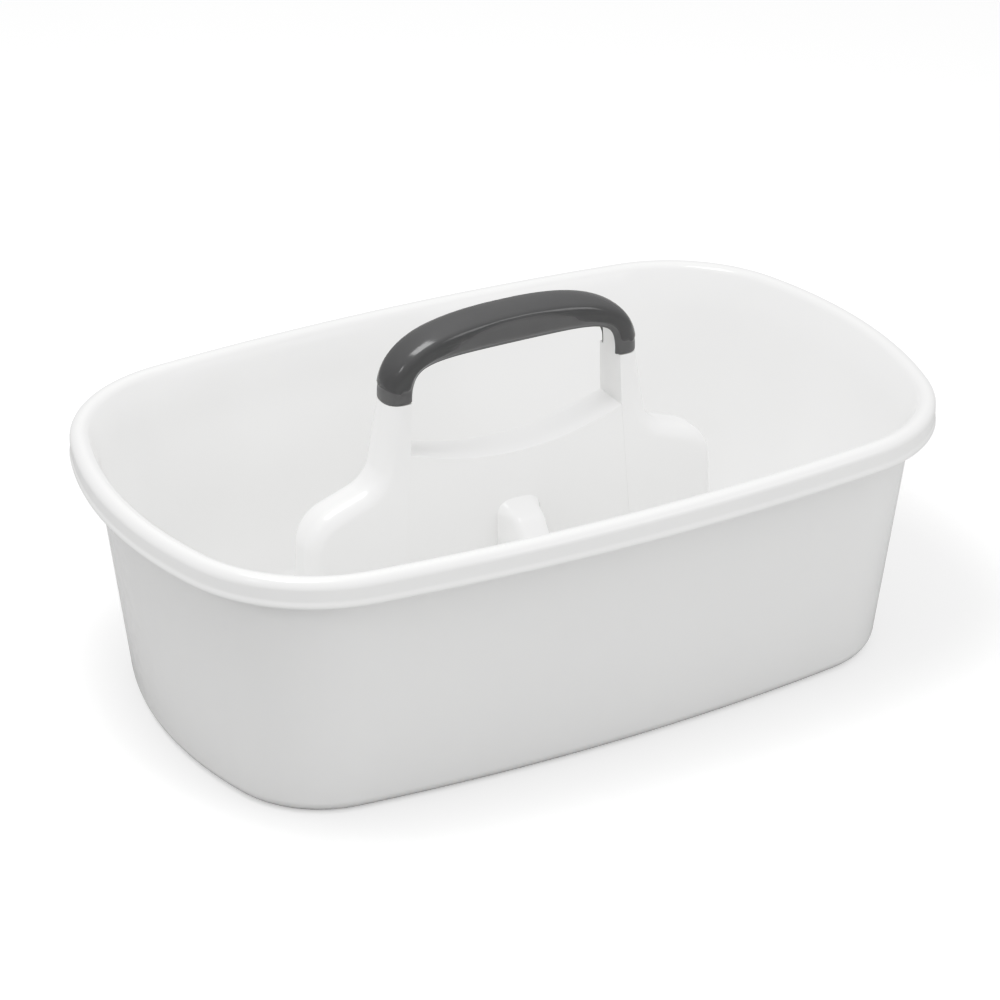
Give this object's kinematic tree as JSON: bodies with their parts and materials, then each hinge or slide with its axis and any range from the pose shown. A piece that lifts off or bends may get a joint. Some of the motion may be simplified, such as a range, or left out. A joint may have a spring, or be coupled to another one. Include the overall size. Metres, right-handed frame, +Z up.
{
  "type": "cleaning caddy",
  "caption": "Open rectangular plastic caddy with a rolled rim, hollow central divider and a fixed arched carrying handle with a dark grip, for carrying bottles and cloths.",
  "frame": {"origin": "on the supporting surface, under the middle of the tub", "axes": "+X along the tub's length and the handle bar, +Y across the tub to its rear side, +Z up"},
  "size_m": [0.4016, 0.2528, 0.1817],
  "materials": {
    "tub_plastic": "glossy white moulded polypropylene",
    "frame_plastic": "glossy white moulded polypropylene",
    "panel_plastic": "glossy white moulded polypropylene",
    "grip_plastic": "satin dark grey moulded plastic with a fine texture",
    "screw_steel": "zinc plated steel"
  },
  "bodies": {
    "root": {"tub": "tub_plastic", "handle_frame": "frame_plastic", "centre_panel": "panel_plastic", "grip_cover": "grip_plastic", "frame_screw_1": "screw_steel", "frame_screw_2": "screw_steel", "frame_screw_3": "screw_steel", "frame_screw_4": "screw_steel", "panel_screw_1": "screw_steel", "panel_screw_2": "screw_steel"}
  },
  "joints": []
}
